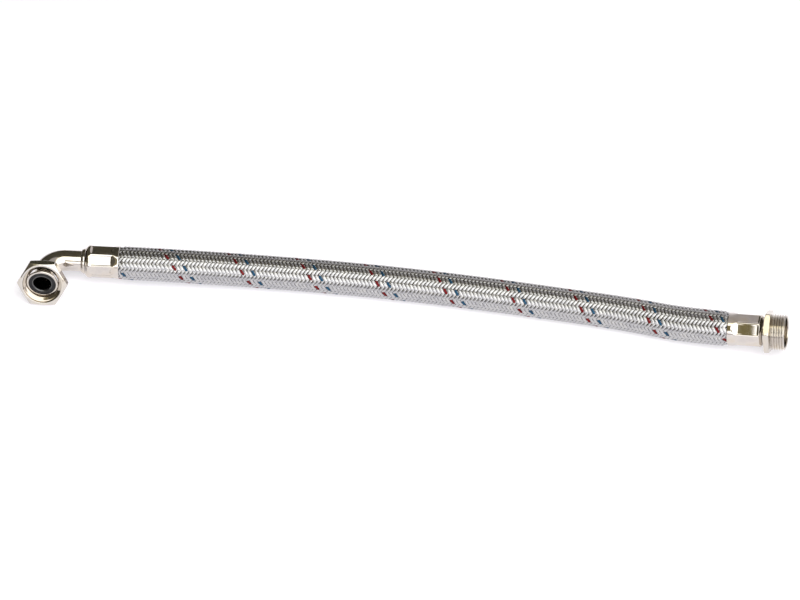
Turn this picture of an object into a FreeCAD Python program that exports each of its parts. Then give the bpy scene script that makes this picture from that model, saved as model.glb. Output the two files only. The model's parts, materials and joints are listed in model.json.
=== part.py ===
import FreeCAD, Part
import math
import os

# Stainless-braided flexible supply line, millimetres, +Z up.
# The origin is the centre of the swivel nut's mouth. The nut opens towards -Y and
# a little upwards, the hose leaves the elbow along +X, and the whole line lies on
# a flat surface at SURFACE_Z.

os.makedirs("parts", exist_ok=True)

# ---- pipe thread G1 -------------------------------------------------------
THREAD_PITCH = 2.309
THREAD_MAJOR_R = 33.249 / 2
THREAD_MINOR_R = 30.291 / 2
THREAD_LAND = 0.62

# ---- attitude of the two ends ----------------------------------------------
NUT_PITCH = 17.0
ELBOW_PITCH = 0.0
MALE_YAW = -8.4
MALE_PITCH = 6.0

# ---- union nut ---------------------------------------------------------------
NUT_AF = 41.0
NUT_HEX_LENGTH = 9.5
NUT_LENGTH = 12.0
NUT_FACE_R = 19.8
NUT_MOUTH_R = 18.2
NUT_COUNTERBORE_R = 17.9
NUT_COUNTERBORE_DEPTH = 2.2
NUT_THREAD_START = 3.0
NUT_THREAD_COUNT = 2
NUT_RUN_OUT = 0.5
NUT_RELIEF_R = 16.9
NUT_WALL_START = 9.2
NUT_HOLE_R = 13.6
NUT_SHOULDER_R = 17.6
NUT_SHOULDER_TAPER = 1.4
NUT_FRONT_CHAMFER_DEG = 30.0
NUT_BACK_CHAMFER = 1.5
NUT_BACK_R = 20.7
NUT_CORNER_MARGIN = 0.1
EDGE_BREAK = 0.4

# ---- elbow -------------------------------------------------------------------
FLANGE_DEPTH_IN_NUT = 2.0
FLANGE_R = 14.7
FLANGE_THICK = 2.2
FLANGE_FRONT_CHAMFER = 0.45
GASKET_R = 12.65
GASKET_RECESS = 1.6
GASKET_PROUD = 0.25
GASKET_HOLE_R = 8.0
GASKET_LIP = 0.9
TUBE_R = 9.75
TUBE_BORE_R = 8.25
LEG_LENGTH = 35.3
BEND_R = 18.0
COLLAR_X = 32.4
FERRULE_X = 36.0

# ---- crimped ferrules ----------------------------------------------------------
FERRULE_LENGTH = 32.0
FERRULE_LIP_R = 12.3
FERRULE_SHOULDER_R = 15.3
FERRULE_SKIRT_R = 15.4
CRIMP_AF = 28.6
CRIMP_LENGTH = 20.0
CRIMP_RUN_IN = 1.2
CRIMP_TAPER_AF = 31.2
CRIMP_TAPER_LENGTH = 5.4
ELBOW_CRIMP_START = 5.9
MALE_CRIMP_START = 3.2
FERRULE_NECK_R = 10.8
FERRULE_WALL = 2.0
FERRULE_BORE_R = 13.3
FERRULE_MOUTH_R = 14.8
FERRULE_MOUTH_DEPTH = 6.2
FERRULE_BORE_DEPTH = 11.7
SHOULDER_CURVE = [(13.1, 0.3), (14.2, 1.5), (15.0, 2.6), (15.3, 4.0)]
SKIRT_RISE = 1.5
MALE_CRIMP_ROLL = -3.0

# ---- hose ----------------------------------------------------------------------
HOSE_R = 15.5
BRAID_THICK = 1.5
LINER_THICK = 2.0
TAIL_R = 9.5
TAIL_BORE_R = 7.75
TAIL_LENGTH = 27.5
BARB_COUNT = 5
BARB_DEPTH = 0.7
BARB_WIDTH = 1.0
BARB_RISE = 0.2
TAIL_LEAD = 2.0
TAIL_LEAD_DEPTH = 1.2
SOCKET_R = 10.4
SOCKET_DEPTH = 0.6
SOCKET_RIM = 1.8
COLLAR_R = 11.8
COLLAR_SLOPE = 0.3
COLLAR_GAP = 0.1
NECK_GAP = 0.2
STOP_R = 11.4
STOP_THICK = 1.2
TAIL_PLAIN = 1.8
SQUEEZED_BRAID_R = 13.0
SQUEEZED_LINER_R = 11.7
SQUEEZED_BORE_R = 9.85
SQUEEZED_LENGTH = 27.0
MOUTH_GROWTH = 1.5
GROWTH_START = 11.0
GROWTH_END = 5.5
HOSE_TO_MALE_GAP = 0.3
HOSE_IN_MALE = SQUEEZED_LENGTH - HOSE_TO_MALE_GAP
FIRST_CORNER = 22.5
LAST_CORNER = 33.3
RUN_SHARE = 0.45
SURFACE_GAP = 0.12

# ---- male end --------------------------------------------------------------------
MALE_MOUTH = FreeCAD.Vector(633.08, -12.21, -2.48)
MALE_HEX_AF = 36.0
MALE_HEX_START = 34.0
MALE_HEX_LENGTH = 4.9
MALE_HEX_ROLL = 0.4
MALE_TIP = 52.6
MALE_HEX_CHAMFER = 0.7
MALE_HEX_CHAMFER_DEPTH = 1.2
MALE_COLLAR_R = 11.6
MALE_RELIEF_R = 15.025
MALE_RELIEF_END = 39.0
MALE_TIP_R = 15.925
MALE_THREAD_START = 39.7
MALE_THREAD_COUNT = 5
MALE_BORE_R = 14.2
MALE_CHAMFER_R = 14.9
MALE_CHAMFER_DEPTH = 0.7
MALE_BORE_DEPTH = 11.5
MALE_BORE_TAPER = 5.5

ORIGIN = FreeCAD.Vector(0, 0, 0)
X_AXIS = FreeCAD.Vector(1, 0, 0)
Z_AXIS = FreeCAD.Vector(0, 0, 1)


def direction(yaw, pitch):
    """Unit vector turned by yaw from +X about +Z, then raised by pitch."""
    flat = math.cos(math.radians(pitch))
    return FreeCAD.Vector(
        flat * math.cos(math.radians(yaw)),
        flat * math.sin(math.radians(yaw)),
        math.sin(math.radians(pitch)),
    )


NUT_AXIS = direction(-90, NUT_PITCH)
LEG_AXIS = direction(-90, ELBOW_PITCH)
MALE_AXIS = direction(MALE_YAW, MALE_PITCH)
FLANGE_CENTRE = NUT_AXIS * -FLANGE_DEPTH_IN_NUT
ELBOW_CORNER = FLANGE_CENTRE - LEG_AXIS * LEG_LENGTH
ELBOW_MOUTH = ELBOW_CORNER + X_AXIS * (FERRULE_X + FERRULE_LENGTH)
SURFACE_Z = -(
    NUT_AF / 2 * math.cos(math.radians(NUT_PITCH))
    + NUT_HEX_LENGTH * math.sin(math.radians(NUT_PITCH))
)
HOSE_LYING_Z = SURFACE_Z + HOSE_R + SURFACE_GAP

# The hose's route: from inside the elbow's ferrule, down to the surface, along it
# in one long loose bend, and up into the male end's ferrule.
ROUTE = [
    ELBOW_MOUTH - X_AXIS * SQUEEZED_LENGTH,
    ELBOW_MOUTH + X_AXIS * FIRST_CORNER,
    FreeCAD.Vector(142.0, 39.8, -3.6),
    FreeCAD.Vector(204.0, 40.8, -6.2),
    FreeCAD.Vector(270.0, 38.2, HOSE_LYING_Z),
    FreeCAD.Vector(338.0, 33.0, HOSE_LYING_Z),
    FreeCAD.Vector(406.0, 25.4, HOSE_LYING_Z),
    FreeCAD.Vector(474.0, 16.2, HOSE_LYING_Z),
    FreeCAD.Vector(538.0, 7.2, HOSE_LYING_Z),
    MALE_MOUTH - MALE_AXIS * LAST_CORNER,
    MALE_MOUTH + MALE_AXIS * HOSE_IN_MALE,
]


# ---- helpers -----------------------------------------------------------------------


def placed(shape, origin, axis, roll=0.0):
    """Stand a shape that is built along +Z on a point, with +Z turned to axis."""
    side = Z_AXIS.cross(axis)
    side.normalize()
    up = axis.cross(side)
    turn = FreeCAD.Rotation(side, up, axis, "ZXY")
    spin = FreeCAD.Rotation(Z_AXIS, roll)
    moved = shape.copy()
    moved.Placement = FreeCAD.Placement(origin, turn.multiply(spin))
    return moved


def turned(outline):
    """Revolve a closed outline of (radius, height) corners about +Z."""
    corners = [FreeCAD.Vector(r, 0, z) for r, z in outline]
    face = Part.Face(Part.makePolygon(corners + corners[:1]))
    return face.revolve(ORIGIN, Z_AXIS, 360)


def prism(sides, across_flats, low, high, first_flat=0.0):
    """Regular prism along +Z, with one flat's normal at first_flat degrees from +X."""
    return tapered_prism(sides, across_flats, across_flats, low, high, first_flat)


def polygon_wire(sides, across_flats, height, first_flat):
    corner_r = across_flats / 2 / math.cos(math.pi / sides)
    corners = []
    for i in range(sides + 1):
        angle = math.radians(first_flat) + (2 * i + 1) * math.pi / sides
        corners.append(
            FreeCAD.Vector(corner_r * math.cos(angle), corner_r * math.sin(angle), height)
        )
    return Part.makePolygon(corners)


def tapered_prism(sides, low_af, high_af, low, high, first_flat=0.0):
    """Prism or pyramid stump along +Z between two heights."""
    wires = [
        polygon_wire(sides, low_af, low, first_flat),
        polygon_wire(sides, high_af, high, first_flat),
    ]
    return Part.makeLoft(wires, True, True)


def thread_outline(land_r, groove_r, start, count):
    """Corners of ring grooves: count + 1 lands a pitch apart, with V grooves between."""
    corners = []
    for i in range(count):
        low = start + i * THREAD_PITCH
        corners.append((land_r, low))
        corners.append((land_r, low + THREAD_LAND))
        corners.append((groove_r, low + (THREAD_PITCH + THREAD_LAND) / 2))
    last = start + count * THREAD_PITCH
    corners.append((land_r, last))
    corners.append((land_r, last + THREAD_LAND))
    return corners


def unit_of(vector):
    out = FreeCAD.Vector(vector)
    out.normalize()
    return out


# ---- elbow end -------------------------------------------------------------------------


def union_nut():
    """Swivel nut along +Z, mouth at z = 0: a hexagon with a round shoulder behind it."""
    corner_r = NUT_AF / 2 / math.cos(math.pi / 6) + NUT_CORNER_MARGIN
    front_slope = math.tan(math.radians(NUT_FRONT_CHAMFER_DEG))
    outline = [
        (NUT_COUNTERBORE_R, -NUT_COUNTERBORE_DEPTH),
        (NUT_COUNTERBORE_R, -EDGE_BREAK),
        (NUT_MOUTH_R, 0),
        (NUT_FACE_R, 0),
        (corner_r, -(corner_r - NUT_FACE_R) * front_slope),
        (corner_r, -NUT_HEX_LENGTH + NUT_BACK_CHAMFER),
        (NUT_BACK_R, -NUT_HEX_LENGTH),
        (NUT_SHOULDER_R, -NUT_HEX_LENGTH),
        (NUT_SHOULDER_R - NUT_SHOULDER_TAPER, -NUT_LENGTH),
        (NUT_HOLE_R + EDGE_BREAK, -NUT_LENGTH),
        (NUT_HOLE_R, -NUT_LENGTH + EDGE_BREAK),
        (NUT_HOLE_R, -NUT_WALL_START - EDGE_BREAK),
        (NUT_HOLE_R + EDGE_BREAK, -NUT_WALL_START),
        (NUT_RELIEF_R, -NUT_WALL_START),
    ]
    lands = thread_outline(
        THREAD_MINOR_R, THREAD_MAJOR_R, NUT_THREAD_START, NUT_THREAD_COUNT
    )
    thread = [(r, -z) for r, z in reversed(lands)]
    run_out = (NUT_RELIEF_R, thread[0][1] - NUT_RUN_OUT)
    turned_nut = turned(outline + [run_out] + thread)
    hexagon = prism(6, NUT_AF, -NUT_HEX_LENGTH, 0.0, 90.0)
    shoulder = Part.makeCylinder(
        NUT_SHOULDER_R, NUT_LENGTH - NUT_HEX_LENGTH, FreeCAD.Vector(0, 0, -NUT_LENGTH)
    )
    blank = hexagon.fuse(shoulder)
    return placed(turned_nut.common(blank), ORIGIN, NUT_AXIS)


def seat_flange():
    """Brazed ring on the tube's end, with a recess for the gasket."""
    outline = [
        (TUBE_R, -FLANGE_THICK),
        (FLANGE_R - EDGE_BREAK, -FLANGE_THICK),
        (FLANGE_R, -FLANGE_THICK + EDGE_BREAK),
        (FLANGE_R, -FLANGE_FRONT_CHAMFER),
        (FLANGE_R - FLANGE_FRONT_CHAMFER, 0),
        (GASKET_R, 0),
        (GASKET_R, -GASKET_RECESS),
        (TUBE_R, -GASKET_RECESS),
    ]
    return placed(turned(outline), FLANGE_CENTRE, LEG_AXIS)


def nut_gasket():
    """Rubber sealing ring in the flange's recess."""
    outline = [
        (GASKET_HOLE_R, -GASKET_RECESS),
        (GASKET_R, -GASKET_RECESS),
        (GASKET_R, GASKET_PROUD - EDGE_BREAK),
        (GASKET_R - EDGE_BREAK, GASKET_PROUD),
        (GASKET_HOLE_R + GASKET_LIP, GASKET_PROUD),
        (GASKET_HOLE_R, GASKET_PROUD - GASKET_LIP),
    ]
    return placed(turned(outline), FLANGE_CENTRE, LEG_AXIS)


def elbow_tube():
    """Bent tube from the gasket, through a right angle, into the insert's socket."""
    start = FLANGE_CENTRE - LEG_AXIS * GASKET_RECESS
    bend_in = ELBOW_CORNER + LEG_AXIS * BEND_R
    bend_out = ELBOW_CORNER + X_AXIS * BEND_R
    centre = bend_in + X_AXIS * BEND_R
    middle = centre - unit_of(X_AXIS + LEG_AXIS) * BEND_R
    finish = ELBOW_CORNER + X_AXIS * (FERRULE_X + SOCKET_DEPTH - COLLAR_GAP)
    path = Part.Wire(
        [
            Part.LineSegment(start, bend_in).toShape(),
            Part.Arc(bend_in, middle, bend_out).toShape(),
            Part.LineSegment(bend_out, finish).toShape(),
        ]
    )
    return swept_ring(path, start, bend_in - start, TUBE_R, TUBE_BORE_R)


def swept_ring(path, start, along, outer_r, inner_r):
    """Tube of constant wall along a smooth path."""
    outer = Part.Wire(Part.Circle(start, along, outer_r).toShape())
    inner = Part.Wire(Part.Circle(start, along, inner_r).toShape())
    shell = path.makePipeShell([outer], True, False)
    bore = path.makePipeShell([inner], True, False)
    return shell.cut(bore)


def tail_outline():
    """Insert's outer corners from the ferrule's closed wall: neck, stop and barbed tail."""
    stop_low = FERRULE_WALL + NECK_GAP
    stop_high = stop_low + STOP_THICK
    corners = [
        (FERRULE_NECK_R - NECK_GAP, 0),
        (FERRULE_NECK_R - NECK_GAP, stop_low),
        (STOP_R, stop_low),
        (STOP_R, stop_high),
        (TAIL_R - BARB_DEPTH, stop_high),
    ]
    return corners + barbs(stop_high + TAIL_PLAIN, stop_low + TAIL_LENGTH)


def barbs(low, high):
    """Saw-tooth rings that hold the liner, ending in a lead-in chamfer."""
    root_r = TAIL_R - BARB_DEPTH
    step = (high - TAIL_LEAD - low) / BARB_COUNT
    corners = []
    for i in range(BARB_COUNT):
        base = low + i * step
        corners.append((root_r, base))
        corners.append((TAIL_R, base + BARB_RISE))
        corners.append((TAIL_R, base + BARB_WIDTH))
    corners.append((root_r, high - TAIL_LEAD))
    corners.append((TAIL_R - TAIL_LEAD_DEPTH, high))
    return corners


def elbow_insert():
    """Hose tail brazed to the elbow's tube, along +X from its socket collar."""
    collar_low = COLLAR_X - FERRULE_X
    collar = [
        (SOCKET_R, collar_low),
        (SOCKET_R, collar_low + SOCKET_RIM),
        (COLLAR_R, collar_low + SOCKET_RIM + COLLAR_SLOPE),
        (COLLAR_R, -COLLAR_GAP),
    ]
    tail = tail_outline()
    inner = [
        (TAIL_BORE_R, tail[-1][1]),
        (TAIL_BORE_R, SOCKET_DEPTH),
        (TUBE_R, SOCKET_DEPTH),
        (TUBE_R, collar_low),
    ]
    origin = ELBOW_CORNER + X_AXIS * FERRULE_X
    return placed(turned(collar + tail + inner), origin, X_AXIS)


def ferrule(origin, axis, roll, crimp_start):
    """Crimped sleeve along +Z: lip, rounded shoulder, eight crimped flats, round skirt."""
    crimp_end = crimp_start + CRIMP_LENGTH
    outline = [
        (FERRULE_NECK_R, 0),
        (FERRULE_LIP_R, 0),
        *SHOULDER_CURVE,
        (FERRULE_SHOULDER_R, crimp_end),
        (FERRULE_SKIRT_R, crimp_end + SKIRT_RISE),
        (FERRULE_SKIRT_R, FERRULE_LENGTH - EDGE_BREAK),
        (FERRULE_SKIRT_R - EDGE_BREAK, FERRULE_LENGTH),
        (FERRULE_MOUTH_R, FERRULE_LENGTH),
        (FERRULE_MOUTH_R, FERRULE_LENGTH - FERRULE_MOUTH_DEPTH),
        (FERRULE_BORE_R, FERRULE_LENGTH - FERRULE_BORE_DEPTH),
        (FERRULE_BORE_R, FERRULE_WALL),
        (FERRULE_NECK_R, FERRULE_WALL),
    ]
    run_in = crimp_start - CRIMP_RUN_IN
    run_out = crimp_end + CRIMP_TAPER_LENGTH
    start = prism(8, CRIMP_TAPER_AF, 0.0, run_in)
    narrowing = tapered_prism(8, CRIMP_TAPER_AF, CRIMP_AF, run_in, crimp_start)
    flats = prism(8, CRIMP_AF, crimp_start, crimp_end)
    widening = tapered_prism(8, CRIMP_AF, CRIMP_TAPER_AF, crimp_end, run_out)
    end = prism(8, CRIMP_TAPER_AF, run_out, FERRULE_LENGTH)
    die = start.fuse([narrowing, flats, widening, end])
    return placed(turned(outline).common(die), origin, axis, roll)


# ---- hose ------------------------------------------------------------------------------


def route_path(points, start, finish, radius_list):
    """Straight runs joined by tangent arcs, cut off at a start and a finish.

    The start lies on the first run before its arc, the finish on the last run after
    its arc.
    """
    edges = []
    last = start
    for before, corner, after in zip(points, points[1:], points[2:]):
        run_in = corner - before
        run_out = after - corner
        turn = run_in.getAngle(run_out)
        shorter = min(run_in.Length, run_out.Length)
        cut = RUN_SHARE * shorter
        radius_list.append(cut / math.tan(turn / 2))
        arc_in = corner - unit_of(run_in) * cut
        arc_out = corner + unit_of(run_out) * cut
        inward = unit_of(unit_of(run_out) - unit_of(run_in))
        sag = radius_list[-1] / math.cos(turn / 2) - radius_list[-1]
        edges.append(Part.LineSegment(last, arc_in).toShape())
        edges.append(Part.Arc(arc_in, corner + inward * sag, arc_out).toShape())
        last = arc_out
    edges.append(Part.LineSegment(last, finish).toShape())
    return Part.Wire(edges)


def squeezed_end(inner_r, outer_r):
    """Hose layer inside a ferrule, along +Z up to the ferrule's mouth."""
    grow_low = SQUEEZED_LENGTH - GROWTH_START
    grow_high = SQUEEZED_LENGTH - GROWTH_END
    outline = [
        (inner_r, 0),
        (outer_r, 0),
        (outer_r, grow_low),
        (outer_r + MOUTH_GROWTH, grow_high),
        (outer_r + MOUTH_GROWTH, SQUEEZED_LENGTH),
        (inner_r + MOUTH_GROWTH, SQUEEZED_LENGTH),
        (inner_r + MOUTH_GROWTH, grow_high),
        (inner_r, grow_low),
    ]
    return turned(outline)


def hose_layer(outer_r, inner_r, squeezed_r, squeezed_inner_r):
    """One layer of the hose: a plain tube on the route, narrowed inside the ferrules."""
    far_mouth = MALE_MOUTH - MALE_AXIS * HOSE_TO_MALE_GAP
    path = route_path(ROUTE, ELBOW_MOUTH, far_mouth, [])
    tube = swept_ring(path, ELBOW_MOUTH, X_AXIS, outer_r, inner_r)
    expected = math.pi * (outer_r**2 - inner_r**2) * path.Length
    print("layer", outer_r, "free length", round(path.Length, 1), "tube volume / expected",
          round(tube.Volume / expected, 4))
    end = squeezed_end(squeezed_inner_r, squeezed_r)
    near = placed(end, ELBOW_MOUTH - X_AXIS * SQUEEZED_LENGTH, X_AXIS)
    far = placed(end, far_mouth + MALE_AXIS * SQUEEZED_LENGTH, MALE_AXIS * -1)
    return tube.fuse([near, far])


def braid_sleeve():
    return hose_layer(
        HOSE_R, HOSE_R - BRAID_THICK, SQUEEZED_BRAID_R, SQUEEZED_LINER_R
    )


def hose_liner():
    outer_r = HOSE_R - BRAID_THICK
    return hose_layer(
        outer_r, outer_r - LINER_THICK, SQUEEZED_LINER_R, SQUEEZED_BORE_R
    )


# ---- male end ----------------------------------------------------------------------------


def male_insert():
    """Hose tail, wrench hexagon and pipe thread in one piece.

    It is built along +Z from the ferrule's closed end towards the tip, and the
    barbed tail points the other way, into the hose.
    """
    closed_end = FERRULE_LENGTH
    tail = [(r, closed_end - z) for r, z in tail_outline()]
    hex_low = MALE_HEX_START
    hex_high = MALE_HEX_START + MALE_HEX_LENGTH
    thread = thread_outline(
        THREAD_MAJOR_R, THREAD_MINOR_R, MALE_THREAD_START, MALE_THREAD_COUNT
    )
    corner_r = MALE_HEX_AF / 2 / math.cos(math.pi / 6)
    outer = [
        (MALE_COLLAR_R, closed_end),
        (MALE_COLLAR_R, hex_low),
        (corner_r - MALE_HEX_CHAMFER_DEPTH, hex_low),
        (corner_r, hex_low + MALE_HEX_CHAMFER),
        (corner_r, hex_high - MALE_HEX_CHAMFER),
        (corner_r - MALE_HEX_CHAMFER_DEPTH, hex_high),
        (MALE_RELIEF_R, hex_high),
        (MALE_RELIEF_R, MALE_RELIEF_END),
    ]
    tip = [
        (MALE_TIP_R, MALE_TIP),
        (MALE_CHAMFER_R, MALE_TIP),
        (MALE_BORE_R, MALE_TIP - MALE_CHAMFER_DEPTH),
        (MALE_BORE_R, MALE_TIP - MALE_BORE_DEPTH),
        (TAIL_BORE_R, MALE_TIP - MALE_BORE_DEPTH - MALE_BORE_TAPER),
        (TAIL_BORE_R, tail[-1][1]),
    ]
    blank = turned(list(reversed(tail)) + outer + thread + tip)
    hexagon = prism(6, MALE_HEX_AF, hex_low, hex_high, MALE_HEX_ROLL)
    before = Part.makeCylinder(FERRULE_SKIRT_R, hex_low)
    after = Part.makeCylinder(
        THREAD_MAJOR_R, MALE_TIP - hex_high, FreeCAD.Vector(0, 0, hex_high)
    )
    stock = hexagon.fuse([before, after])
    return placed(blank.common(stock), MALE_MOUTH, MALE_AXIS)


def male_ferrule():
    origin = MALE_MOUTH + MALE_AXIS * FERRULE_LENGTH
    return ferrule(origin, MALE_AXIS * -1, MALE_CRIMP_ROLL, MALE_CRIMP_START)


def elbow_ferrule():
    origin = ELBOW_CORNER + X_AXIS * FERRULE_X
    return ferrule(origin, X_AXIS, 0.0, ELBOW_CRIMP_START)


# ---- all sub-parts -------------------------------------------------------------------------

NODES = {
    "union_nut": union_nut,
    "nut_gasket": nut_gasket,
    "seat_flange": seat_flange,
    "elbow_tube": elbow_tube,
    "elbow_insert": elbow_insert,
    "elbow_ferrule": elbow_ferrule,
    "braid_sleeve": braid_sleeve,
    "hose_liner": hose_liner,
    "male_ferrule": male_ferrule,
    "male_insert": male_insert,
}


def report_route():
    """Print the route's runs and arc radii, and where the hose lies."""
    radii = []
    path = route_path(ROUTE, ROUTE[0], ROUTE[-1], radii)
    runs = [(b - a).Length for a, b in zip(ROUTE, ROUTE[1:])]
    print("surface at z", round(SURFACE_Z, 2), "hose axis lies at", round(HOSE_LYING_Z, 2))
    print("runs", [round(r, 1) for r in runs])
    print("arc radii", [round(r) for r in radii], "in hose diameters",
          round(min(radii) / (2 * HOSE_R), 1), "at least")
    print("hose length", round(path.Length, 1))


def main():
    report_route()
    for name, make in NODES.items():
        shape = make()
        solids = shape.Solids
        box = shape.BoundBox
        print(name, len(solids), "solid, valid", shape.isValid(), "volume", round(shape.Volume),
              "z from", round(box.ZMin, 2), "to", round(box.ZMax, 2))
        solids[0].exportStep(f"parts/{name}.step")


main()
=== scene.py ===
import json
import math

import bpy
import numpy as np
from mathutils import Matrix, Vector


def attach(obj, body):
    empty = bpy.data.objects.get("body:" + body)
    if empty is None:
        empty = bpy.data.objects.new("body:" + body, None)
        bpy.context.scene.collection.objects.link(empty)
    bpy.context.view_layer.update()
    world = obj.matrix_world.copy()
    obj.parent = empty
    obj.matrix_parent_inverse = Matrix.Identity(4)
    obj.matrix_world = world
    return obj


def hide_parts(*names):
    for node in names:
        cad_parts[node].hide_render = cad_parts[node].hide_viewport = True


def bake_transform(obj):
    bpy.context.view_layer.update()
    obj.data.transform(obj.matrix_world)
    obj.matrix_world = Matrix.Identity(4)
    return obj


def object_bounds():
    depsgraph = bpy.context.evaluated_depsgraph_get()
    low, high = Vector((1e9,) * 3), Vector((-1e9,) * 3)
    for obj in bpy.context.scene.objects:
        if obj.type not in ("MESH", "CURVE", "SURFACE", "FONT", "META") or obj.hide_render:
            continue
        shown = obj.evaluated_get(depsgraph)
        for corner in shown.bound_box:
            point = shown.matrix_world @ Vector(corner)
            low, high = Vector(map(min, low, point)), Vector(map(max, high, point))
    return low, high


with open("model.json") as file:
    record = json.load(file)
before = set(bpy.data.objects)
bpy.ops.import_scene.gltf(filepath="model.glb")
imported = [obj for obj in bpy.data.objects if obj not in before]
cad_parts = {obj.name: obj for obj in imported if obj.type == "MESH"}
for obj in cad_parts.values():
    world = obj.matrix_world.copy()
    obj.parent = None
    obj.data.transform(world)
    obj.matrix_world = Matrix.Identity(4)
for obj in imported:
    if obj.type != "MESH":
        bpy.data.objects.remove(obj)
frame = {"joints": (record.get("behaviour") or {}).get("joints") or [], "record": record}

CAD_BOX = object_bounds()

# Looks of a stainless-braided supply line. The part's lengths are millimetres in this
# script and become metres when a mesh is made. The hose's route and the studio are in
# metres. Angles are degrees where a name or a comment says so, and otherwise radians.
MM = 0.001
TURN = 2 * math.pi

# ---- places read from the frame --------------------------------------------------------


def unit(vector):
    vector = np.asarray(vector, float)
    return vector / np.linalg.norm(vector)


def mount_place(name):
    """Place in mm and direction of one of the record's mounts."""
    mount = next(m for m in frame["record"]["mounts"] if m["name"] == name)
    return np.array(mount["pos_m"]) / MM, unit(mount["axis"])


def joint_axis(name):
    joint = next(j for j in frame["joints"] if j["name"] == name)
    return unit(joint["axis"])


X_AXIS = np.array([1.0, 0.0, 0.0])
NUT_AXIS = joint_axis("nut_spin")
LEG_AXIS = mount_place("gasket_face")[1]
# From the mouth of the male end's ferrule to the middle of its thread.
THREAD_MIDDLE = 45.7825
THREAD_PLACE, MALE_AXIS = mount_place("male_thread")
MALE_MOUTH = THREAD_PLACE - MALE_AXIS * THREAD_MIDDLE
FLOOR_Z = CAD_BOX[0][2]

# ---- sizes of the fittings -------------------------------------------------------------
THREAD_PITCH = 2.309
THREAD_MAJOR_R = 33.249 / 2
THREAD_MINOR_R = 30.291 / 2
FLANGE_DEPTH_IN_NUT = 2.0
LEG_LENGTH = 35.3
BEND_R = 18.0
TUBE_R = 9.75
TUBE_BORE_R = 8.25
FERRULE_X = 36.0
FERRULE_LENGTH = 32.0
# The hose tails' bore.
TAIL_BORE_R = 7.75
FLANGE_CENTRE = NUT_AXIS * -FLANGE_DEPTH_IN_NUT
ELBOW_CORNER = FLANGE_CENTRE - LEG_AXIS * LEG_LENGTH
ELBOW_MOUTH = ELBOW_CORNER + X_AXIS * (FERRULE_X + FERRULE_LENGTH)

# ---- the hose --------------------------------------------------------------------------
HOSE_LYING_Z = -6.76
LINER_R = 13.9
LINER_BORE_R = 12.0
# The ferrules pinch the hose's skin, and it is a little fuller before the male end.
PINCH = 0.85
NEAR_PINCH_LENGTH = 4.5
FAR_PINCH_LENGTH = 5.0
FULLER = 0.55
FULLER_START = 160
FULLER_END = 20
# The route's points, in metres: inside the elbow's ferrule, down to the floor, along
# it in one long loose bend, and up into the male end's ferrule.
ROUTE = [
    tuple((ELBOW_MOUTH - X_AXIS * 27.0) * MM),
    tuple((ELBOW_MOUTH + X_AXIS * 22.5) * MM),
    (0.1420, 0.0398, -0.0036),
    (0.2040, 0.0408, -0.0062),
    (0.2700, 0.0382, HOSE_LYING_Z * MM),
    (0.3380, 0.0330, HOSE_LYING_Z * MM),
    (0.4060, 0.0254, HOSE_LYING_Z * MM),
    (0.4740, 0.0162, HOSE_LYING_Z * MM),
    (0.5380, 0.0072, HOSE_LYING_Z * MM),
    tuple((MALE_MOUTH - MALE_AXIS * 33.3) * MM),
    tuple((MALE_MOUTH + MALE_AXIS * 26.7) * MM),
]

# ---- the braid -------------------------------------------------------------------------
CARRIERS_EACH_WAY = 18
CARRIER_SPACING = TURN / CARRIERS_EACH_WAY
BRAID_LAY = 63.76
FIRST_RED = 77.7
FIRST_RED_ANGLE = math.radians(-8.0)
BLUE_AHEAD = 3
WIRES = 7
BAND_WIDTH = 2.66
TRACER_WIDTH = 2.25
BRAID_MID_R = 14.66
WEAVE_DEPTH = 0.38
WEAVE_SQUARENESS = 2.0
CROWN = 0.42
WIRE_BUMP = 0.045
BAND_THICK = 0.22
STEPS_PER_LAY = 72
WIRE_EDGE_DEG = 15.0
INTO_ELBOW_FERRULE = 6.0
INTO_MALE_FERRULE = 5.6
# Angle 0 round the hose faces forwards and this far up.
SIDE_UP_DEG = 41.0
FACING = np.array(
    [0.0, -math.cos(math.radians(SIDE_UP_DEG)), math.sin(math.radians(SIDE_UP_DEG))]
)


# ---- mesh helpers ----------------------------------------------------------------------


class Place:
    """A local frame: +Z along axis, turned by a roll in degrees."""

    def __init__(self, origin, axis, roll=0.0):
        side = unit(np.cross([0, 0, 1], axis))
        up = np.cross(axis, side)
        spin = math.radians(roll)
        self.origin = np.asarray(origin, float)
        self.rows = np.array(
            [
                side * math.cos(spin) + up * math.sin(spin),
                up * math.cos(spin) - side * math.sin(spin),
                axis,
            ]
        )

    def out(self, local):
        return self.origin + local @ self.rows


def grid_faces(rows, columns, wrap_rows):
    """Quads of a grid of points whose columns go round."""
    last = rows if wrap_rows else rows - 1
    i, j = np.meshgrid(np.arange(last), np.arange(columns), indexing="ij")
    below = (i + 1) % rows
    beside = (j + 1) % columns
    quads = np.stack(
        [i * columns + j, i * columns + beside, below * columns + beside, below * columns + j],
        axis=-1,
    )
    return quads.reshape(-1, 4)


def facing_out(points, quads):
    """The quads, turned over if the closed mesh they make has a negative volume."""
    a, b, c, d = (points[quads[:, k]] for k in range(4))
    volume = np.einsum("ij,ij->i", a, np.cross(b, c)).sum()
    volume += np.einsum("ij,ij->i", a, np.cross(c, d)).sum()
    return quads if volume > 0 else quads[:, ::-1]


def make_piece(name, points, faces, material, sharp_deg=180.0):
    """An object from points in mm."""
    mesh = bpy.data.meshes.new(name)
    mesh.from_pydata((points * MM).tolist(), [], [list(map(int, f)) for f in faces])
    mesh.shade_smooth()
    if sharp_deg < 180:
        mesh.set_sharp_from_angle(angle=math.radians(sharp_deg))
    mesh.materials.append(material)
    piece = bpy.data.objects.new(name, mesh)
    bpy.context.scene.collection.objects.link(piece)
    return piece


def smooth_min(a, b, soft):
    """The lesser of two radii, with the edge between them rounded."""
    share = np.clip(0.5 + 0.5 * (b - a) / soft, 0, 1)
    return b * (1 - share) + a * share - soft * share * (1 - share)


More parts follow.
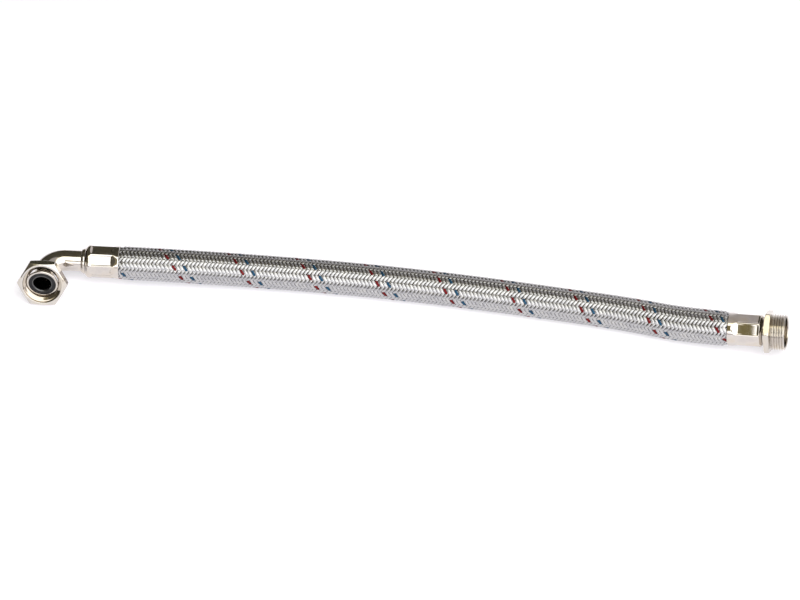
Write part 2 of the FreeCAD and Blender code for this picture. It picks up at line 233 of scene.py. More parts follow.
def smooth_step(low, high, value):
    t = np.clip((value - low) / (high - low), 0, 1)
    return t * t * (3 - 2 * t)


def flats(angle, sides, across, first_flat_deg=0.0):
    """Radius of a regular prism's surface at an angle round it."""
    slice_angle = TURN / sides
    off = (angle - math.radians(first_flat_deg) + slice_angle / 2) % slice_angle
    return across / 2 / np.cos(off - slice_angle / 2)


def rounded(outline, radius, steps=4):
    """A closed outline with every corner rounded as far as its edges allow."""
    outline = [np.array(p, float) for p in outline]
    result = []
    for k, corner in enumerate(outline):
        before = outline[k - 1] - corner
        after = outline[(k + 1) % len(outline)] - corner
        reach = min(radius, 0.42 * np.linalg.norm(before), 0.42 * np.linalg.norm(after))
        start = corner + unit(before) * reach
        finish = corner + unit(after) * reach
        for t in np.linspace(0, 1, steps):
            result.append(start * (1 - t) ** 2 + corner * 2 * t * (1 - t) + finish * t * t)
    return np.array(result)


def divided(outline, step, fine=None):
    """A closed outline with its long edges divided.

    fine is two heights and the smaller step that is used between them.
    """
    fine_from, fine_to, fine_step = fine or (0.0, 0.0, step)
    result = []
    for start, finish in zip(outline, np.roll(outline, -1, axis=0)):
        length = np.linalg.norm(finish - start)
        middle = (start[1] + finish[1]) / 2
        limit = fine_step if fine_from < middle < fine_to else step
        count = max(1, int(math.ceil(length / limit)))
        for k in range(count):
            result.append(start + (finish - start) * k / count)
    return np.array(result)


def lathe(name, outline, place, material, columns, shape=None):
    """A closed (radius, height) outline turned about the place's axis.

    shape gives the final radius from a radius, a height and an angle round the axis.
    """
    angle = np.linspace(0, TURN, columns, endpoint=False)
    radius, turn = np.meshgrid(outline[:, 0], angle, indexing="ij")
    height = np.repeat(outline[:, 1:2], columns, axis=1)
    if shape:
        radius = shape(radius, height, turn)
    local = np.stack([radius * np.cos(turn), radius * np.sin(turn), height], axis=-1)
    points = place.out(local).reshape(-1, 3)
    quads = facing_out(points - place.origin, grid_faces(len(outline), columns, True))
    return make_piece(name, points, quads, material)


def thread_radius(height, turn):
    """Radius of a helical thread's surface, right-handed about +Z."""
    wave = 0.5 + 0.5 * np.cos(TURN * height / THREAD_PITCH - turn)
    return THREAD_MINOR_R + (THREAD_MAJOR_R - THREAD_MINOR_R) * wave


# ---- materials -------------------------------------------------------------------------


def colour_ramp(tree, value, stops):
    """Colours along a value; stops are (position, colour)."""
    node = tree.nodes.new("ShaderNodeValToRGB")
    elements = node.color_ramp.elements
    while len(elements) < len(stops):
        elements.new(0.5)
    for element, (position, colour) in zip(elements, stops):
        element.position = position
        element.color = (*colour, 1)
    tree.links.new(value, node.inputs["Fac"])
    return node.outputs["Color"]


class Nodes:
    """A material under construction: a Principled shader and short calls to add to it."""

    def __init__(self, name, colour, metallic, roughness):
        self.material = bpy.data.materials.new(name)
        self.material.use_nodes = True
        self.tree = self.material.node_tree
        self.shader = self.tree.nodes["Principled BSDF"]
        self.shader.inputs["Base Color"].default_value = (*colour, 1)
        self.shader.inputs["Metallic"].default_value = metallic
        self.shader.inputs["Roughness"].default_value = roughness
        self.place = self.tree.nodes.new("ShaderNodeTexCoord").outputs["Object"]

    def noise(self, scale, detail):
        """Noise over the surface, in repeats per metre."""
        node = self.tree.nodes.new("ShaderNodeTexNoise")
        node.inputs["Scale"].default_value = scale
        node.inputs["Detail"].default_value = detail
        self.tree.links.new(self.place, node.inputs["Vector"])
        return node.outputs["Fac"]

    def spread(self, value, low, high, start=0.35, stop=0.65):
        """Maps a value's middle range onto low to high."""
        node = self.tree.nodes.new("ShaderNodeMapRange")
        for key, number in (
            ("From Min", start), ("From Max", stop), ("To Min", low), ("To Max", high)
        ):
            node.inputs[key].default_value = number
        self.tree.links.new(value, node.inputs["Value"])
        return node.outputs["Result"]

    def ramp(self, value, stops):
        return colour_ramp(self.tree, value, stops)

    def beyond(self, axis, radius):
        """0 nearer to an axis through the origin than a radius in mm, and 1 further away."""
        cross = self.tree.nodes.new("ShaderNodeVectorMath")
        cross.operation = "CROSS_PRODUCT"
        self.tree.links.new(self.place, cross.inputs[0])
        cross.inputs[1].default_value = tuple(axis)
        far = self.tree.nodes.new("ShaderNodeVectorMath")
        far.operation = "LENGTH"
        self.tree.links.new(cross.outputs["Vector"], far.inputs[0])
        soft = 0.1
        return self.spread(
            far.outputs["Value"], 0.0, 1.0, (radius - soft) * MM, (radius + soft) * MM
        )

    def mix(self, share, first, second):
        """A colour socket from a fixed colour at share 0 to a socket's colour at share 1."""
        node = self.tree.nodes.new("ShaderNodeMix")
        node.data_type = "RGBA"
        self.tree.links.new(share, node.inputs[0])
        node.inputs[6].default_value = (*first, 1)
        self.tree.links.new(second, node.inputs[7])
        return node.outputs[2]

    def bump(self, height, strength, distance_mm):
        node = self.tree.nodes.new("ShaderNodeBump")
        node.inputs["Strength"].default_value = strength
        node.inputs["Distance"].default_value = distance_mm * MM
        self.tree.links.new(height, node.inputs["Height"])
        self.tree.links.new(node.outputs["Normal"], self.shader.inputs["Normal"])

    def drive(self, socket, value):
        self.tree.links.new(value, self.shader.inputs[socket])


# Painted shade: a darker plate colour for the inside of a bore, where shade falls.
BORE_PAINTED_SHADE = (0.47, 0.42, 0.36)


def plated_metal(name, colour, roughness, ripple=0.15, painted_shade_inside=None):
    """Polished nickel plate: a slightly wavy cast or pressed surface, tinted in places.

    The last argument is an axis through the origin and a radius in mm: nearer to that axis
    the plate's colour is painted darker, as painted shade deep inside a threaded bore.
    """
    nodes = Nodes(name, colour, 1.0, roughness)
    warm = tuple(c * w for c, w in zip(colour, (1.0, 0.965, 0.90)))
    cool = tuple(c * w for c, w in zip(colour, (0.93, 0.93, 0.95)))
    tint = nodes.ramp(nodes.noise(90, 3), [(0.35, cool), (0.5, colour), (0.68, warm)])
    # Painted shade: near the axis the base colour is mixed towards the darker bore colour.
    if painted_shade_inside:
        tint = nodes.mix(nodes.beyond(*painted_shade_inside), BORE_PAINTED_SHADE, tint)
    nodes.drive("Base Color", tint)
    nodes.drive("Roughness", nodes.spread(nodes.noise(420, 6), roughness * 0.7, roughness * 1.6))
    nodes.bump(nodes.noise(160, 2), ripple, 0.08)
    return nodes.material


def braid_wire(name):
    """Bright drawn stainless wire, a little duller where it was rubbed."""
    rubbed = (0.36, 0.36, 0.375)
    plain = (0.42, 0.42, 0.43)
    bright = (0.48, 0.475, 0.47)
    nodes = Nodes(name, plain, 1.0, 0.2)
    tint = nodes.ramp(nodes.noise(260, 5), [(0.3, rubbed), (0.5, plain), (0.7, bright)])
    nodes.drive("Base Color", tint)
    nodes.drive("Roughness", nodes.spread(nodes.noise(700, 4), 0.15, 0.28))
    nodes.bump(nodes.noise(2600, 2), 0.12, 0.05)
    return nodes.material


def tracer_yarn(name, dark, mid, light):
    """Glossy dyed yarn laid in the braid, with darker and paler fibres."""
    nodes = Nodes(name, mid, 0.8, 0.38)
    fibres = nodes.noise(1500, 4)
    nodes.drive("Base Color", nodes.ramp(fibres, [(0.34, dark), (0.5, mid), (0.68, light)]))
    nodes.drive("Roughness", nodes.spread(fibres, 0.36, 0.62))
    nodes.bump(fibres, 0.3, 0.08)
    return nodes.material


def black_rubber(name, shine, shiny_inside=None):
    """Moulded black rubber with a faint bloom.

    shiny_inside is an axis through the origin and a radius in mm: nearer to that axis the
    rubber is polished by use.
    """
    deep = (0.003, 0.003, 0.004)
    plain = (0.006, 0.006, 0.007)
    bloomed = (0.010, 0.010, 0.012)
    nodes = Nodes(name, plain, 0.0, shine)
    nodes.shader.inputs["Specular IOR Level"].default_value = 0.3
    bloom = nodes.noise(180, 5)
    nodes.drive("Base Color", nodes.ramp(bloom, [(0.35, deep), (0.7, bloomed)]))
    roughness = nodes.spread(bloom, shine * 0.8, shine * 1.3)
    if shiny_inside:
        face = nodes.beyond(*shiny_inside)
        nodes.drive("Specular IOR Level", nodes.spread(face, 1.0, 0.25, 0.0, 1.0))
        roughness = nodes.spread(face, 0.2, shine, 0.0, 1.0)
    nodes.drive("Roughness", roughness)
    nodes.bump(nodes.noise(900, 3), 0.2, 0.05)
    return nodes.material


def pale_floor(name):
    """White table that glows a little, so that its shadows stay faint."""
    cool = (0.51, 0.50, 0.54)
    plain = (0.52, 0.51, 0.54)
    warm = (0.53, 0.52, 0.54)
    nodes = Nodes(name, plain, 0.0, 0.75)
    nodes.drive("Base Color", nodes.ramp(nodes.noise(3, 2), [(0.3, cool), (0.7, warm)]))
    nodes.shader.inputs["Emission Color"].default_value = (0.98, 0.97, 1.0, 1.0)
    nodes.shader.inputs["Emission Strength"].default_value = 0.52
    return nodes.material


# The nut's bore, within 18.05 mm of its axis, gets painted shade.
NICKEL = plated_metal("plated_nut", (0.57, 0.54, 0.50), 0.08, painted_shade_inside=(NUT_AXIS, 18.05))
NICKEL_TUBE = plated_metal("plated_elbow", (0.56, 0.525, 0.49), 0.10)
FERRULE_STEEL = plated_metal("plated_ferrule", (0.57, 0.535, 0.50), 0.07, ripple=0.08)
NICKEL_MALE = plated_metal("plated_male", (0.57, 0.535, 0.485), 0.09)
WIRE = braid_wire("steel_braid")
RED = tracer_yarn("tracer_red", (0.04, 0.002, 0.003), (0.13, 0.006, 0.009), (0.25, 0.022, 0.022))
BLUE = tracer_yarn("tracer_blue", (0.006, 0.020, 0.045), (0.012, 0.055, 0.11), (0.04, 0.13, 0.22))
GASKET = black_rubber("gasket_rubber", 0.30, shiny_inside=(LEG_AXIS, 9.4))
LINER = black_rubber("liner_rubber", 0.60)


# ---- fittings at the elbow's end -------------------------------------------------------


def union_nut():
    """Swivel nut: hexagon, round shoulder behind it, and a helical thread inside."""
    across = 41.0
    corner_r = across / 2 / math.cos(math.pi / 6)
    hex_back = -9.5
    thread_low = -7.9
    thread_high = -2.3
    mouth_r = 18.2
    outline = [
        (mouth_r, 0), (19.8, 0), (corner_r + 0.1, -2.3), (corner_r + 0.1, hex_back + 1.5),
        (20.7, hex_back), (17.6, hex_back), (16.2, -12), (14.0, -12), (13.6, -11.6),
        (13.6, -9.6), (14.0, -9.2), (16.9, -9.2), (16.9, thread_low), (THREAD_MINOR_R, -7.4),
        (THREAD_MINOR_R, -3.0), (17.9, -2.2), (17.9, -0.4),
    ]
    outline = divided(rounded(outline, 0.3), 0.45, (thread_low, thread_high, 0.14))
    bore = outline[:, 0] < mouth_r + 0.02

    def shape(radius, height, turn):
        outside = smooth_min(radius, flats(turn, 6, across, 90.0), 0.5)
        groove = thread_radius(height, turn)
        in_thread = (height > thread_low) & (height < thread_high) & bore[:, None]
        fade = smooth_step(thread_low, thread_low + 1.0, height)
        cut = np.maximum(radius, groove * fade + radius * (1 - fade))
        return np.where(in_thread, cut, np.where(bore[:, None], radius, outside))

    place = Place((0, 0, 0), NUT_AXIS)
    return lathe("swivel_nut", outline, place, NICKEL, 360, shape)


def seat_flange():
    """Ring brazed on the elbow's end, with a recess for the sealing ring."""
    outline = [
        (TUBE_R, -2.2), (14.3, -2.2), (14.7, -1.8), (14.7, -0.45), (14.25, 0),
        (12.65, 0), (12.65, -1.6), (TUBE_R, -1.6),
    ]
    outline = divided(rounded(outline, 0.25), 0.6)
    return lathe("seat_ring", outline, Place(FLANGE_CENTRE, LEG_AXIS), NICKEL_TUBE, 240)


def nut_gasket():
    """Sealing ring with a rounded inner lip, slightly uneven as moulded rubber is."""
    outline = [(8.0, -1.6), (12.6, -1.6), (12.6, 0.1), (12.2, 0.25), (8.9, 0.25), (8.0, -0.65)]
    outline = divided(rounded(outline, 0.6, 6), 0.4)

    def shape(radius, height, turn):
        wave = np.cos(3 * turn + 0.7) + 0.6 * np.cos(5 * turn)
        return radius - 0.05 * wave * (height > -1.0)

    return lathe("gasket_ring", outline, Place(FLANGE_CENTRE, LEG_AXIS), GASKET, 200, shape)


def swept_tube(name, path, outer_r, inner_r, material):
    """Tube of constant wall along a plane path, open at both ends."""
    columns = 96
    path = np.array(path)
    along = np.gradient(path, axis=0)
    along /= np.linalg.norm(along, axis=1)[:, None]
    normal = unit(np.cross(X_AXIS, LEG_AXIS))
    across = np.cross(normal, along)
    angle = np.linspace(0, TURN, columns, endpoint=False)
    ring = np.cos(angle)[None, :, None] * normal + np.sin(angle)[None, :, None] * across[:, None, :]
    outer = path[:, None, :] + ring * outer_r
    inner = path[::-1, None, :] + ring[::-1] * inner_r
    points = np.concatenate([outer, inner]).reshape(-1, 3)
    quads = facing_out(points, grid_faces(2 * len(path), columns, True))
    return make_piece(name, points, quads, material, 40.0)


def elbow_tube():
    """The bent tube, from the flange round the bend and into its insert."""
    start = FLANGE_CENTRE - LEG_AXIS * 1.6
    bend_in = ELBOW_CORNER + LEG_AXIS * BEND_R
    centre = bend_in + X_AXIS * BEND_R
    path = [start + (bend_in - start) * t for t in np.linspace(0, 1, 10, endpoint=False)]
    for t in np.linspace(0, math.pi / 2, 56):
        path.append(centre - X_AXIS * BEND_R * math.cos(t) - LEG_AXIS * BEND_R * math.sin(t))
    reach = FERRULE_X + 0.5 - BEND_R
    for t in np.linspace(0, 1, 9)[1:]:
        path.append(ELBOW_CORNER + X_AXIS * (BEND_R + reach * t))
    return swept_tube("elbow_pipe", path, TUBE_R, TUBE_BORE_R, NICKEL_TUBE)


def insert_tail(low):
    """Barbed tail's corners from the ferrule's closed wall to the tail's end."""
    corners = []
    step = 4.5
    for k in range(5):
        base = low + k * step
        corners += [(8.8, base), (9.5, base + 0.2), (9.5, base + 1.0)]
    return corners + [(8.8, low + 22.5), (8.3, low + 24.3)]


def elbow_insert():
    """Collar and barbed tail that join the tube to the hose."""
    outline = [
        (10.4, -3.6), (11.1, -3.3), (11.8, -1.5), (11.8, -0.1), (10.6, 0), (10.6, 2.2),
        (11.4, 2.2), (11.4, 3.4), (8.8, 3.4),
    ]
    outline += insert_tail(5.2)
    outline += [(TAIL_BORE_R, 29.5), (TAIL_BORE_R, 0.6), (TUBE_R, 0.6), (TUBE_R, -3.6)]
    outline = divided(rounded(outline, 0.25), 0.8)
    place = Place(ELBOW_CORNER + X_AXIS * FERRULE_X, X_AXIS)
    return lathe("elbow_tail", outline, place, NICKEL_TUBE, 192)


def ferrule(name, origin, axis, roll, die_start, bulging):
    """Crimped sleeve: lip, rolled shoulder, eight pressed flats and a round skirt.

    bulging is the share of the flats' hollow that is missing at their middle.
    """
    sides = 8
    die_length = 20.0
    die_end = die_start + die_length
    run_in = 1.2
    taper = 5.4
    across = 28.6
    widening = 2.6
    skirt_r = 15.4
    inner_wall_r = 13.6
    hollow_depth = 0.48
    hollow_edge = 1.1
    # The hollow fades out between these shares of the way from a flat's middle to its edge.
    fade_from = 0.66
    fade_to = 0.86
    outline = [
        (10.8, 0), (12.3, 0), (13.1, 0.3), (14.2, 1.5), (15.0, 2.6), (15.3, 4.0),
        (15.3, die_end), (skirt_r, die_end + 1.5), (skirt_r, 31.6), (15.0, 32.0),
        (14.8, 32.0), (14.8, 25.8), (13.3, 20.3), (13.3, 2.0), (10.8, 2.0),
    ]
    outline = divided(rounded(outline, 0.45), 0.4)

    def shape(radius, height, turn):
        before = np.clip((die_start - height) / run_in, 0, 1)
        after = np.clip((height - die_end) / taper, 0, 1)
        die = flats(turn, sides, across + widening * np.maximum(before, after))
        half = TURN / sides / 2
        from_middle = np.abs((turn + half) % (2 * half) - half) / half
        pressed = smooth_step(die_start, die_start + hollow_edge, height)
        pressed = pressed * (1 - smooth_step(die_end - hollow_edge, die_end, height))
        bulge = np.clip(1 - ((height - die_start) / (die_length / 2) - 1) ** 2, 0, 1)
        hollow = hollow_depth * (1 - bulging * bulge) * pressed
        hollow = hollow * (1 - smooth_step(fade_from, fade_to, from_middle))
        outside = smooth_min(radius, die - hollow, 0.45)
        return np.where(radius > inner_wall_r, outside, np.minimum(radius, die - 0.4))

    return lathe(name, outline, Place(origin, axis, roll), FERRULE_STEEL, 384, shape)


# ---- the male end ----------------------------------------------------------------------


def male_insert():
    """Hose tail, thin wrench hexagon and a helical pipe thread, in one piece."""
    closed_end = FERRULE_LENGTH
    hex_low = 34.0
    hex_high = 38.9
    thread_low = 39.0
    tip = 52.6
    across = 36.0
    corner_r = across / 2 / math.cos(math.pi / 6)
    tail = [(10.6, 0), (10.6, 2.2), (11.4, 2.2), (11.4, 3.4), (8.8, 3.4)] + insert_tail(5.2)
    tail.append((TAIL_BORE_R, 29.5))
    outline = [(r, closed_end - z) for r, z in reversed(tail)]
    outline += [
        (11.6, closed_end), (11.6, hex_low), (corner_r - 1.2, hex_low),
        (corner_r, hex_low + 0.7), (corner_r, hex_high - 0.7), (corner_r - 1.2, hex_high),
        (15.0, hex_high), (THREAD_MAJOR_R, thread_low + 1.5), (THREAD_MAJOR_R, tip - 0.75),
        (15.9, tip), (14.9, tip), (14.2, tip - 0.7), (14.2, tip - 11.5),
        (TAIL_BORE_R, tip - 17.0),
    ]
    outline = divided(rounded(outline, 0.22), 0.8, (thread_low, tip, 0.2))
    outside = outline[:, 0] > 14.6

    def shape(radius, height, turn):
        hexagon = smooth_min(radius, flats(turn, 6, across, 0.4), 0.4)
        run_out = 15.1 + 1.6 * (height - thread_low)
        chamfer = 15.75 + 0.9 * (tip - height)
        thread = np.minimum(thread_radius(height, turn), run_out)
        thread = smooth_min(thread, chamfer, 0.15)
        threaded = (height > thread_low) & (height < tip - 0.05) & outside[:, None]
        return np.where(threaded, np.minimum(radius, thread), hexagon)

    return lathe("male_fitting", outline, Place(MALE_MOUTH, MALE_AXIS), NICKEL_MALE, 270, shape)


# ---- the hose --------------------------------------------------------------------------


def route_points():
    """Points along the route's smooth line, evenly spaced, in mm, with their distances."""
    curve = bpy.data.curves.new("route", "CURVE")
    curve.dimensions = "3D"
    spline = curve.splines.new("NURBS")
    spline.points.add(len(ROUTE) - 1)
    for point, place in zip(spline.points, ROUTE):
        point.co = (*place, 1)
    spline.order_u = 3
    spline.use_endpoint_u = True
    spline.resolution_u = 48
    carrier = bpy.data.objects.new("route", curve)
    bpy.context.scene.collection.objects.link(carrier)
    bpy.context.view_layer.update()
    line = bpy.data.meshes.new_from_object(carrier)
    points = np.array([v.co for v in line.vertices]) / MM
    bpy.data.objects.remove(carrier)
    far = np.concatenate([[0], np.cumsum(np.linalg.norm(np.diff(points, axis=0), axis=1))])
    even = np.linspace(0, far[-1], int(far[-1]) + 1)
    return even, np.stack([np.interp(even, far, points[:, k]) for k in range(3)], axis=1)


class Hose:
    """The hose's line, and directions along and round it at any distance."""

    def __init__(self):
        self.far, self.points = route_points()
        self.length = self.far[-1]
        along = np.gradient(self.points, axis=0)
        along /= np.linalg.norm(along, axis=1)[:, None]
        front = FACING - (along @ FACING)[:, None] * along
        front /= np.linalg.norm(front, axis=1)[:, None]
        self.front = front
        self.above = np.cross(front, along)
        self.near_mouth = np.interp(ELBOW_MOUTH[0], self.points[:, 0], self.far)
        from_male = np.linalg.norm(self.points - MALE_MOUTH, axis=1)
        self.far_mouth = self.far[from_male.argmin()]

    def at(self, field, distance):
        return np.stack([np.interp(distance, self.far, field[:, k]) for k in range(3)], axis=-1)

    def surface(self, distance, angle, radius):
        """Points round the hose: angle 0 faces forwards and up, rising towards the top."""
        front = self.at(self.front, distance)
        above = self.at(self.above, distance)
        outwards = front * np.cos(angle)[..., None] + above * np.sin(angle)[..., None]
        return self.at(self.points, distance) + outwards * radius[..., None]

    def swell(self, distance):
        """How far the hose's skin stands out from its usual radius, negative at its ends."""
        near = PINCH * (1 - smooth_step(0, NEAR_PINCH_LENGTH, distance - self.near_mouth))
        far = PINCH * (1 - smooth_step(0, FAR_PINCH_LENGTH, self.far_mouth - distance))
        fuller = FULLER * smooth_step(FULLER_START, FULLER_END, self.far_mouth - distance)
        return fuller * (1 - far / PINCH) - near - far


def hose_core(hose):
    """The rubber tube under the braid, from end to end."""
    distance = np.linspace(0, hose.length, 420)
    columns = 72
    squeezed_from = -6
    squeezed_by = -13
    outer_squeeze = 1.35
    inner_squeeze = 1.0
    inside = 1 - smooth_step(squeezed_by, squeezed_from, distance - hose.near_mouth)
    inside += 1 - smooth_step(squeezed_by, squeezed_from, hose.far_mouth - distance)
    outer_r = LINER_R + np.minimum(0, hose.swell(distance)) - outer_squeeze * inside
    inner_r = LINER_BORE_R - inner_squeeze * inside
    distance = np.concatenate([distance, distance[::-1]])
    radius = np.concatenate([outer_r, inner_r[::-1]])
    angle = np.linspace(0, TURN, columns, endpoint=False)
    far, turn = np.meshgrid(distance, angle, indexing="ij")
    points = hose.surface(far, turn, np.repeat(radius[:, None], columns, axis=1))
    points = points.reshape(-1, 3)
    quads = facing_out(points, grid_faces(len(distance), columns, True))
    return make_piece("hose_tube", points, quads, LINER, 40.0)


def band_section(width):
    """Offsets across and heights of one band's closed outline: its wires, then its back."""
    across = np.linspace(-1, 1, 2 * WIRES + 1)
    heights = CROWN * (1 - across**2)
    heights[1::2] += WIRE_BUMP
    across = np.concatenate([across, [1.0, -1.0]]) * width / 2
    return across, np.concatenate([heights, [-BAND_THICK, -BAND_THICK]])


def weave_wave(angle):
    """+1 where the rising bands lie over and -1 where the falling ones do."""
    wave = np.cos(CARRIERS_EACH_WAY / 2 * (angle - FIRST_RED_ANGLE - CARRIER_SPACING))
    return np.tanh(WEAVE_SQUARENESS * wave) / math.tanh(WEAVE_SQUARENESS)


def band(hose, rising, start_angle, width):
    """One band of the braid as a grid of points, with its number of rows."""
    way = 1 if rising else -1
    low = hose.near_mouth - INTO_ELBOW_FERRULE
    high = hose.far_mouth + INTO_MALE_FERRULE
    steps = int((high - low) / BRAID_LAY * STEPS_PER_LAY)
    distance = np.linspace(low, high, steps)[:, None]
    across, height = band_section(width)
    slope = math.atan2(TURN * BRAID_MID_R, BRAID_LAY)
    aside = -way * across * math.sin(slope)
    round_off = across * math.cos(slope) / BRAID_MID_R
    middle_angle = start_angle + way * TURN * (distance - FIRST_RED) / BRAID_LAY
    lift = way * WEAVE_DEPTH * weave_wave(middle_angle)
    far = distance + aside
    angle = middle_angle + round_off
    radius = BRAID_MID_R + lift + height + hose.swell(far)
    return hose.surface(far, angle, radius).reshape(-1, 3), steps


def braid_piece(name, hose, bands, material):
    """Several bands in one mesh; bands holds (rising, start angle, width)."""
    all_points = []
    all_faces = []
    first = 0
    for rising, start_angle, width in bands:
        points, steps = band(hose, rising, start_angle, width)
        ring = len(points) // steps
        grid = grid_faces(steps, ring, False)
        quads = facing_out(points, grid)
        flipped = quads is not grid
        near_cap = list(range(ring))
        far_cap = [(steps - 1) * ring + k for k in range(ring)]
        caps = [near_cap, far_cap[::-1]] if flipped else [near_cap[::-1], far_cap]
        all_points.append(points)
        all_faces += (quads + first).tolist()
        all_faces += [[k + first for k in cap] for cap in caps]
        first += len(points)
    return make_piece(name, np.concatenate(all_points), all_faces, material, WIRE_EDGE_DEG)


def braid(hose):
    """Every band of the braid: steel ones in five pieces, and the two tracers."""
    red = (False, FIRST_RED_ANGLE, TRACER_WIDTH)
    blue = (False, FIRST_RED_ANGLE + BLUE_AHEAD * CARRIER_SPACING, TRACER_WIDTH)
    falling = [
        (False, FIRST_RED_ANGLE + k * CARRIER_SPACING, BAND_WIDTH)
        for k in range(CARRIERS_EACH_WAY)
        if k not in (0, BLUE_AHEAD)
    ]
    rising = [
        (True, FIRST_RED_ANGLE + CARRIER_SPACING + k * CARRIER_SPACING, BAND_WIDTH)
        for k in range(CARRIERS_EACH_WAY)
    ]
    groups = [falling[:8], falling[8:], rising[:6], rising[6:12], rising[12:]]
    pieces = [
        braid_piece(f"braid_steel_{k + 1}", hose, group, WIRE) for k, group in enumerate(groups)
    ]
    pieces.append(braid_piece("braid_tracer_red", hose, [red], RED))
    pieces.append(braid_piece("braid_tracer_blue", hose, [blue], BLUE))
    return pieces


# ---- floor, light and camera -----------------------------------------------------------


def add_floor():
    """A wide square table top at the lowest point of the part."""
    half = 6.0
    square = ((-half, -half), (half, -half), (half, half), (-half, half))
    mesh = bpy.data.meshes.new("floor")
    mesh.from_pydata([(x, y, FLOOR_Z) for x, y in square], [], [(0, 1, 2, 3)])
    mesh.materials.append(pale_floor("pale_floor"))
    floor = bpy.data.objects.new("floor", mesh)
    bpy.context.scene.collection.objects.link(floor)


class Sky:
    """The studio's surroundings, built from the direction that is looked in."""

    def __init__(self, strength):
        world = bpy.data.worlds.new("studio")
        bpy.context.scene.world = world
        world.use_nodes = True
        self.tree = world.node_tree
        self.background = self.tree.nodes["Background"]
        self.background.inputs["Strength"].default_value = strength
        parts = self.tree.nodes.new("ShaderNodeSeparateXYZ")
        direction = self.tree.nodes.new("ShaderNodeTexCoord").outputs["Generated"]
        self.tree.links.new(direction, parts.inputs["Vector"])
        self.sideways = parts.outputs["X"]
        forwards = self.maths("MULTIPLY", parts.outputs["Y"], -1.0)
        angle = self.maths("ARCTAN2", parts.outputs["Z"], forwards)
        self.rise = self.maths("DIVIDE", angle, math.pi)

    def maths(self, operation, first, second):
        node = self.tree.nodes.new("ShaderNodeMath")
        node.operation = operation
        for socket, value in zip(node.inputs, (first, second)):
            if isinstance(value, (int, float)):
                socket.default_value = value
            else:
                self.tree.links.new(value, socket)
        return node.outputs["Value"]

    def between(self, value, low, high):
        """From 0 below low to 1 above high, smoothly."""
        node = self.tree.nodes.new("ShaderNodeMapRange")
        node.interpolation_type = "SMOOTHSTEP"
        node.inputs["From Min"].default_value = low
        node.inputs["From Max"].default_value = high
        self.tree.links.new(value, node.inputs["Value"])
        return node.outputs["Result"]

    def window(self, value, edges):
        """1 between the middle two of four edges, 0 outside them all."""
        rise = self.between(value, edges[0], edges[1])
        fall = self.between(value, edges[3], edges[2])
        return self.maths("MULTIPLY", rise, fall)

    def ramp(self, value, stops):
        return colour_ramp(self.tree, value, stops)

    def mix(self, how, share, first, second):
        """Two colours blended; each value is a number, a colour or a socket."""
        node = self.tree.nodes.new("ShaderNodeMix")
        node.data_type = "RGBA"
        node.blend_type = how
        sockets = (node.inputs[0], node.inputs[6], node.inputs[7])
        for socket, value in zip(sockets, (share, first, second)):
            if isinstance(value, float):
                socket.default_value = value
            elif isinstance(value, tuple):
                socket.default_value = (*value, 1)
            else:
                self.tree.links.new(value, socket)
        return node.outputs[2]

    def show(self, colour):
        self.tree.links.new(colour, self.background.inputs["Color"])


SKY_STRENGTH = 3.0
# The sky along its rise: 0 is the horizon in front, 0.5 overhead and 1 the one behind.
RISE_STOPS = [
    (0.00, (0.25, 0.24, 0.25)), (0.040, (0.28, 0.27, 0.28)), (0.070, (0.94, 0.93, 0.92)),
    (0.39, (1.0, 1.0, 0.97)), (0.445, (0.80, 0.77, 0.60)), (0.48, (0.22, 0.205, 0.19)),
    (0.56, (0.19, 0.18, 0.17)), (0.72, (0.17, 0.16, 0.155)), (0.84, (0.24, 0.23, 0.23)),
    (0.94, (0.34, 0.33, 0.34)), (1.0, (0.50, 0.50, 0.50)),
]
# A tint along the sky's width: 0 is the far left and 1 the far right.
SIDE_STOPS = [
    (0.10, (0.04, 0.036, 0.025)), (0.25, (0.055, 0.05, 0.04)), (0.31, (0.45, 0.42, 0.33)),
    (0.345, (1.0, 1.0, 1.0)), (1.0, (1.0, 1.0, 1.0)),
]
# Dark panels in the sky: four edges sideways, from -1 to 1, and four along the rise.
PANELS = [
    ((-0.50, -0.40, -0.27, -0.17), (0.12, 0.19, 0.33, 0.40)),
    ((-0.20, -0.17, -0.09, -0.05), (0.14, 0.17, 0.21, 0.235)),
]
PANEL_COLOUR = (0.10, 0.085, 0.04)


def add_world():
    """Soft studio surroundings: bright in front, dim overhead, behind and to the left."""
    sky = Sky(SKY_STRENGTH)
    half = sky.maths("MULTIPLY", sky.sideways, 0.5)
    sides = sky.ramp(sky.maths("ADD", half, 0.5), SIDE_STOPS)
    colour = sky.mix("MULTIPLY", 1.0, sky.ramp(sky.rise, RISE_STOPS), sides)
    for across, upright in PANELS:
        sideways = sky.window(sky.sideways, across)
        share = sky.maths("MULTIPLY", sideways, sky.window(sky.rise, upright))
        colour = sky.mix("MIX", share, colour, PANEL_COLOUR)
    sky.show(colour)


def add_dark_card():
    """A dark card over and behind the left half, with its back edge folded down."""
    front, back, low, high = -0.10, 3.0, 0.12, 0.90
    left, right, folded_right = -2.0, 0.28, -0.04
    mesh = bpy.data.meshes.new("dark_card")
    mesh.from_pydata(
        [
            (left, front, high), (right, front, high), (right, back, high), (left, back, high),
            (folded_right, back, high), (folded_right, back, low), (left, back, low),
        ],
        [],
        [(0, 1, 2, 3), (3, 4, 5, 6)],
    )
    nodes = Nodes("dark_card", (0.075, 0.070, 0.045), 0.0, 0.9)
    mesh.materials.append(nodes.material)
    card = bpy.data.objects.new("dark_card", mesh)
    card.visible_camera = False
    bpy.context.scene.collection.objects.link(card)


def aim(thing, target):
    """Turns an object so that its -Z axis points at the target."""
    towards = Vector(target) - thing.location
    thing.rotation_euler = towards.to_track_quat("-Z", "Y").to_euler()


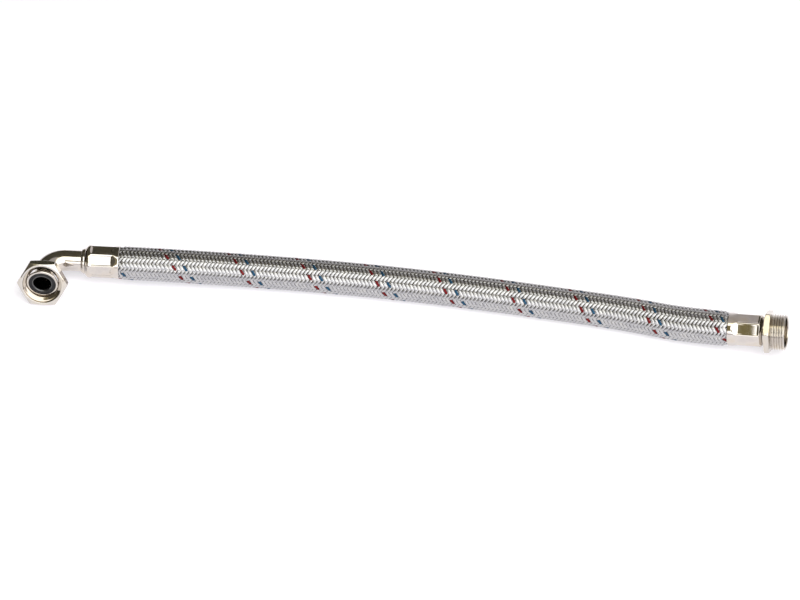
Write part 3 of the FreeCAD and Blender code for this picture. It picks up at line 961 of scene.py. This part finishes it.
def add_key_light():
    """One large soft light in front and above, that isn't seen in reflections."""
    lamp = bpy.data.lights.new("key", "AREA")
    lamp.shape = "RECTANGLE"
    lamp.size = 2.6
    lamp.size_y = 1.4
    lamp.energy = 40
    key = bpy.data.objects.new("key", lamp)
    key.location = (0.5, -1.3, 2.3)
    aim(key, (0.35, 0.0, 0.0))
    key.visible_glossy = False
    bpy.context.scene.collection.objects.link(key)


def add_camera():
    """A long lens, 41 degrees above the floor and 4.2 degrees round to the right."""
    yaw = math.radians(4.2)
    rise = math.radians(41.0)
    distance = 3.69
    look_right = 0.3304
    look_down = 0.0139
    level = np.array([-math.sin(yaw), math.cos(yaw), 0.0])
    right = np.array([math.cos(yaw), math.sin(yaw), 0.0])
    forwards = level * math.cos(rise) - np.array([0, 0, math.sin(rise)])
    above = np.cross(right, forwards)
    target = right * look_right - above * look_down
    lens = bpy.data.cameras.new("camera")
    lens.lens = 180.0
    lens.sensor_width = 36.0
    lens.clip_end = 30.0
    camera = bpy.data.objects.new("camera", lens)
    camera.location = target - forwards * distance
    aim(camera, target)
    bpy.context.scene.collection.objects.link(camera)
    bpy.context.scene.camera = camera


# ---- all pieces ------------------------------------------------------------------------


def place_piece(piece, body, node):
    """A piece rides on a body and stands for a CAD node, which is hidden."""
    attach(piece, body)
    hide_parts(node)


def bend_piece(piece, node=None):
    """A piece of the hose between the elbow's end and the male end: its place is baked into its
    mesh, and the CAD node it replaces is hidden.
    """
    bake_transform(piece)
    if node:
        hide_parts(node)


def main():
    add_camera()
    hose = Hose()
    core = hose_core(hose)
    bend_piece(core, "hose_liner")
    *steel_strands, red_tracer, blue_tracer = braid(hose)
    for strand in steel_strands:
        bend_piece(strand, "braid_sleeve")
    bend_piece(red_tracer)
    bend_piece(blue_tracer)

    place_piece(union_nut(), "union_nut", "union_nut")
    place_piece(seat_flange(), "elbow_end", "seat_flange")
    place_piece(nut_gasket(), "elbow_end", "nut_gasket")
    place_piece(elbow_tube(), "elbow_end", "elbow_tube")
    place_piece(elbow_insert(), "elbow_end", "elbow_insert")
    closed_end = ELBOW_CORNER + X_AXIS * FERRULE_X
    near = ferrule("elbow_crimp", closed_end, X_AXIS, roll=0.0, die_start=5.9, bulging=0.1)
    place_piece(near, "elbow_end", "elbow_ferrule")
    closed_end = MALE_MOUTH + MALE_AXIS * FERRULE_LENGTH
    far = ferrule("male_crimp", closed_end, -MALE_AXIS, roll=-3.0, die_start=3.2, bulging=0.8)
    place_piece(far, "male_end", "male_ferrule")
    fitting = male_insert()
    place_piece(fitting, "male_end", "male_insert")

    add_floor()
    add_world()
    add_dark_card()
    add_key_light()
    bpy.context.scene.view_settings.view_transform = "Standard"


main()
